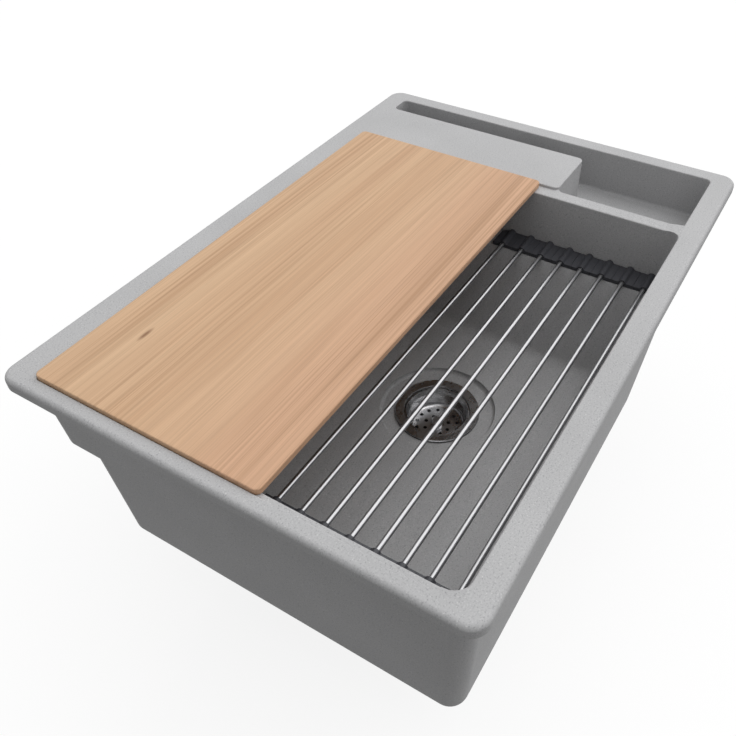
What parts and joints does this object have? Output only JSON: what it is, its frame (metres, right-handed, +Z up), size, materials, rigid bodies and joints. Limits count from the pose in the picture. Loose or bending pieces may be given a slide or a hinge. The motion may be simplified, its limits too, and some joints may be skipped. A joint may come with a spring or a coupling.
{
  "type": "kitchen sink",
  "caption": "Drop-in granite composite kitchen sink with an accessory pocket, a wooden board sliding over the bowl, a roll-up drying rack on a shelf and a basket strainer.",
  "frame": {"origin": "centre of the rim's rectangle, at the level of the rim's underside, which lies on the worktop", "axes": "+X along the sink towards the accessory pocket, -Y towards the user, +Z up"},
  "size_m": [0.787, 0.559, 0.366],
  "materials": {
    "granite": "matt, finely speckled",
    "wood": "oiled, grain along the board",
    "steel": "polished",
    "rod_steel": "satin",
    "silicone": "matt",
    "seal": "matt",
    "fibre": "matt",
    "plastic": "moulded",
    "plastic_washer": "moulded"
  },
  "bodies": {
    "sink": {"sink_basin": "granite", "strainer_body": "steel", "outlet_stub": "steel", "flange_gasket": "seal", "underside_gasket": "seal", "friction_washer": "fibre", "lock_nut": "plastic", "tailpiece": "steel", "tailpiece_washer": "plastic_washer", "coupling_nut": "plastic"},
    "board": {"cutting_board": "wood"},
    "basket": {"strainer_basket": "steel", "basket_post": "steel", "basket_knob": "steel", "basket_stopper": "seal"},
    "rack_1": {"rack_rod_1": "rod_steel", "rack_links_1": "silicone"},
    "rack_2": {"rack_rod_2": "rod_steel", "rack_links_2": "silicone"},
    "rack_3": {"rack_rod_3": "rod_steel", "rack_links_3": "silicone"},
    "rack_4": {"rack_rod_4": "rod_steel", "rack_links_4": "silicone"},
    "rack_5": {"rack_rod_5": "rod_steel", "rack_links_5": "silicone"},
    "rack_6": {"rack_rod_6": "rod_steel", "rack_links_6": "silicone"},
    "rack_7": {"rack_rod_7": "rod_steel", "rack_links_7": "silicone"},
    "rack_8": {"rack_rod_8": "rod_steel", "rack_links_8": "silicone"}
  },
  "joints": [
    {"name": "board_slide", "type": "slide", "parent": "sink", "child": "board", "axis": [0, 1, 0], "range_m": [-0.18, 0]},
    {"name": "rack_slide", "type": "slide", "parent": "sink", "child": "rack_4", "axis": [0, -1, 0], "range_m": [-0.2, 0]},
    {"name": "basket_lift", "type": "slide", "parent": "sink", "child": "basket", "axis": [0, 0, 1], "range_m": [0, 0.06]},
    {"name": "rack_roll_4", "type": "hinge", "parent": "rack_4", "child": "rack_5", "pos_m": [-0.075, -0.12744, -0.0577], "axis": [-1, 0, 0], "range_deg": [0, 60]},
    {"name": "rack_roll_5", "type": "hinge", "parent": "rack_5", "child": "rack_6", "pos_m": [-0.075, -0.15664, -0.0577], "axis": [-1, 0, 0], "range_deg": [0, 60]},
    {"name": "rack_roll_6", "type": "hinge", "parent": "rack_6", "child": "rack_7", "pos_m": [-0.075, -0.18584, -0.0577], "axis": [-1, 0, 0], "range_deg": [0, 60]},
    {"name": "rack_roll_7", "type": "hinge", "parent": "rack_7", "child": "rack_8", "pos_m": [-0.075, -0.21504, -0.0577], "axis": [-1, 0, 0], "range_deg": [0, 60]},
    {"name": "rack_roll_3", "type": "hinge", "parent": "rack_4", "child": "rack_3", "pos_m": [-0.075, -0.09824, -0.0577], "axis": [1, 0, 0], "range_deg": [0, 18]},
    {"name": "rack_roll_2", "type": "hinge", "parent": "rack_3", "child": "rack_2", "pos_m": [-0.075, -0.06904, -0.0577], "axis": [1, 0, 0], "range_deg": [0, 18]},
    {"name": "rack_roll_1", "type": "hinge", "parent": "rack_2", "child": "rack_1", "pos_m": [-0.075, -0.03984, -0.0577], "axis": [1, 0, 0], "range_deg": [0, 18]}
  ],
  "couplings": [
    {"joint": "rack_roll_5", "follows": "rack_roll_4", "ratio": 1},
    {"joint": "rack_roll_6", "follows": "rack_roll_4", "ratio": 1},
    {"joint": "rack_roll_7", "follows": "rack_roll_4", "ratio": 1},
    {"joint": "rack_roll_2", "follows": "rack_roll_3", "ratio": 1},
    {"joint": "rack_roll_1", "follows": "rack_roll_3", "ratio": 1}
  ]
}
